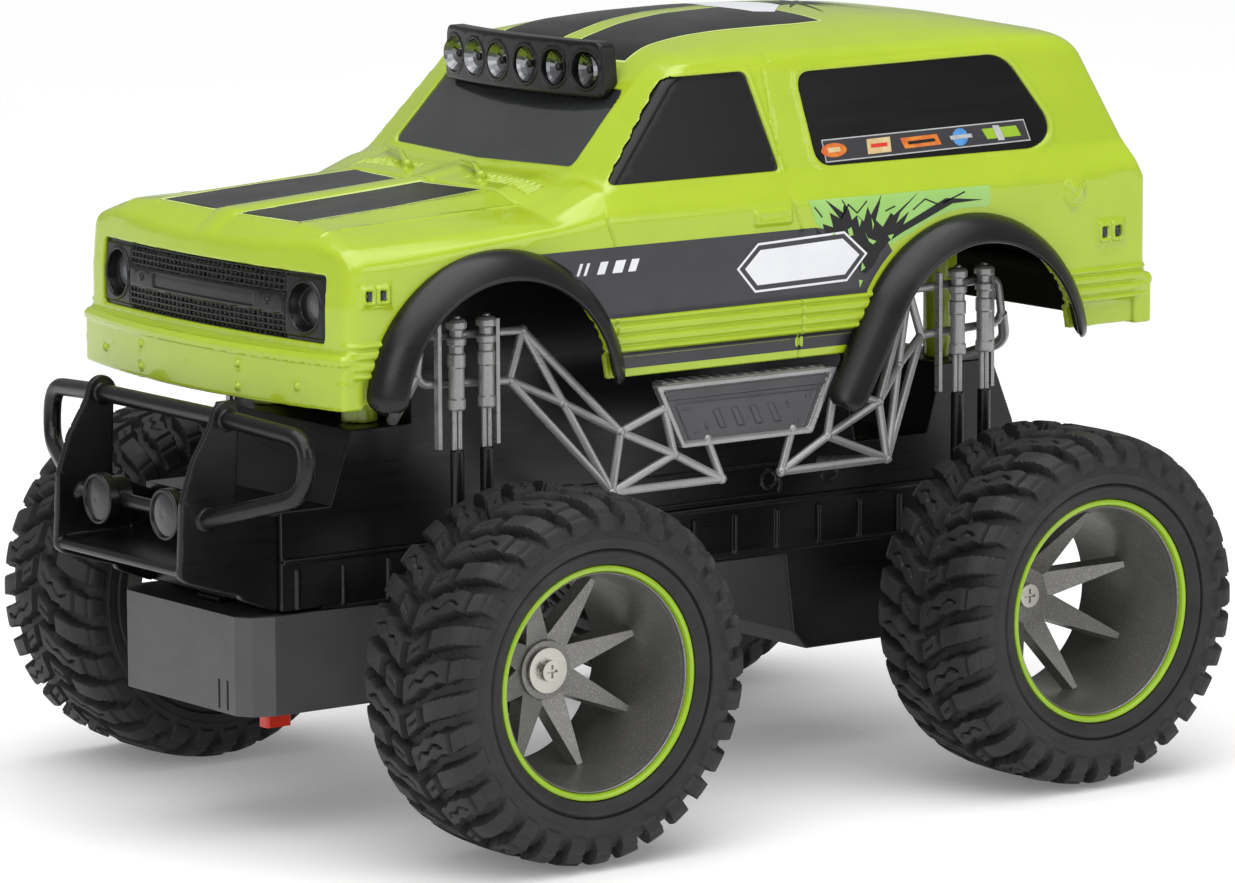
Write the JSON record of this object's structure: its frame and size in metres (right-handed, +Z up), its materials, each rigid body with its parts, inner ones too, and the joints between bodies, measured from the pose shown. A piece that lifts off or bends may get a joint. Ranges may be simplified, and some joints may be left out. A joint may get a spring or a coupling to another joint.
{
  "type": "remote control car",
  "caption": "Remote control monster truck with a vintage two-door body, bull bar, roof lamps, tubular side frames, steering front wheels and geared rear axle.",
  "frame": {"origin": "on the floor under the middle of the bounding box", "axes": "+X forward, +Y to the vehicle's left, +Z up"},
  "size_m": [0.3186, 0.2302, 0.2188],
  "materials": {
    "lime_plastic": "glossy moulded",
    "trim_green": "glossy painted",
    "black_plastic": "semi-gloss moulded",
    "grey_plastic": "satin moulded",
    "gunmetal_plastic": "metallic satin",
    "rubber": "matte",
    "steel": "plated",
    "white_gear_plastic": "satin",
    "brass": "machined",
    "dark_glazing": "glossy",
    "clear_lens": "glossy",
    "chrome": "polished",
    "red_plastic": "glossy",
    "cell_wrap": "glossy shrink wrap",
    "circuit_laminate": "satin"
  },
  "bodies": {
    "chassis": {"chassis_tub": "black_plastic", "chassis_deck": "black_plastic", "front_axle_beams": "black_plastic", "kingpins": "steel", "rear_axle_tubes": "black_plastic", "rear_axle_bushings": "brass", "gearbox_plates": "black_plastic", "drive_motor": "steel", "steering_servo": "black_plastic", "circuit_board": "circuit_laminate", "battery_contacts": "brass", "body_screws": "steel", "bull_bar": "black_plastic", "bull_bar_lamps": "black_plastic", "bull_bar_lenses": "clear_lens", "left_side_frame": "gunmetal_plastic", "right_side_frame": "gunmetal_plastic", "side_plates": "grey_plastic", "shock_cylinders": "gunmetal_plastic", "shock_rods": "gunmetal_plastic", "body_shell": "lime_plastic", "grille": "black_plastic", "headlamps": "clear_lens", "windscreen": "dark_glazing", "side_windows": "dark_glazing", "rear_window": "dark_glazing", "light_bar": "black_plastic", "light_bar_lamps": "chrome", "front_flares": "black_plastic", "rear_flares": "black_plastic"},
    "left_steering": {"left_knuckle": "black_plastic", "left_stub_axle": "steel", "left_wheel_screw": "steel"},
    "right_steering": {"right_knuckle": "black_plastic", "right_stub_axle": "steel", "right_wheel_screw": "steel"},
    "steering_rack": {"steering_rack": "black_plastic"},
    "steering_gear": {"steering_gear": "white_gear_plastic"},
    "front_left_wheel": {"front_left_rim": "gunmetal_plastic", "front_left_tyre": "rubber", "front_left_trim_ring": "trim_green"},
    "front_right_wheel": {"front_right_rim": "gunmetal_plastic", "front_right_tyre": "rubber", "front_right_trim_ring": "trim_green"},
    "rear_axle": {"rear_axle_shaft": "steel", "axle_gear": "white_gear_plastic", "rear_left_rim": "gunmetal_plastic", "rear_left_tyre": "rubber", "rear_right_rim": "gunmetal_plastic", "rear_right_tyre": "rubber", "rear_trim_rings": "trim_green", "rear_wheel_screws": "steel"},
    "counter_gear": {"counter_gear": "white_gear_plastic", "counter_shaft": "steel"},
    "motor_rotor": {"motor_pinion": "brass", "rotor_shaft": "steel"},
    "battery_pack": {"battery_case": "grey_plastic", "battery_cells": "cell_wrap"},
    "battery_release": {"battery_release": "red_plastic"}
  },
  "joints": [
    {"name": "left_steer", "type": "hinge", "parent": "chassis", "child": "left_steering", "pos_m": [0.0781, 0.058, 0.0508], "axis": [0, 0, 1], "range_deg": [-22, 22]},
    {"name": "right_steer", "type": "hinge", "parent": "chassis", "child": "right_steering", "pos_m": [0.0781, -0.058, 0.0508], "axis": [0, 0, 1], "range_deg": [-22, 22]},
    {"name": "rack_slide", "type": "slide", "parent": "chassis", "child": "steering_rack", "axis": [0, 1, 0], "range_m": [-0.0069, 0.0069]},
    {"name": "steering_gear_turn", "type": "hinge", "parent": "chassis", "child": "steering_gear", "pos_m": [0.0718, 0, 0.05], "axis": [0, 0, 1], "range_deg": [-56, 56]},
    {"name": "front_left_spin", "type": "hinge", "parent": "left_steering", "child": "front_left_wheel", "pos_m": [0.0781, 0.09265, 0.0508], "axis": [0, 1, 0], "continuous": true},
    {"name": "front_right_spin", "type": "hinge", "parent": "right_steering", "child": "front_right_wheel", "pos_m": [0.0781, -0.09265, 0.0508], "axis": [0, 1, 0], "continuous": true},
    {"name": "rear_axle_spin", "type": "hinge", "parent": "chassis", "child": "rear_axle", "pos_m": [-0.0979, 0, 0.0508], "axis": [0, 1, 0], "continuous": true},
    {"name": "counter_gear_spin", "type": "hinge", "parent": "chassis", "child": "counter_gear", "pos_m": [-0.0797, 0.012, 0.0508], "axis": [0, 1, 0], "continuous": true},
    {"name": "motor_spin", "type": "hinge", "parent": "chassis", "child": "motor_rotor", "pos_m": [-0.0629, 0.01, 0.0508], "axis": [0, 1, 0], "continuous": true},
    {"name": "battery_slide", "type": "slide", "parent": "chassis", "child": "battery_pack", "axis": [1, 0, 0], "range_m": [0, 0.05]},
    {"name": "battery_release_press", "type": "slide", "parent": "battery_pack", "child": "battery_release", "axis": [0, 0, 1], "range_m": [0, 0.0015], "stiffness_N_per_m": 400}
  ],
  "couplings": [
    {"joint": "right_steer", "follows": "left_steer", "ratio": 1},
    {"joint": "rack_slide", "follows": "left_steer", "m_per_rad": -0.01773},
    {"joint": "steering_gear_turn", "follows": "left_steer", "ratio": 2.5329},
    {"joint": "counter_gear_spin", "follows": "rear_axle_spin", "ratio": -3.3333},
    {"joint": "motor_spin", "follows": "rear_axle_spin", "ratio": 12.667}
  ]
}
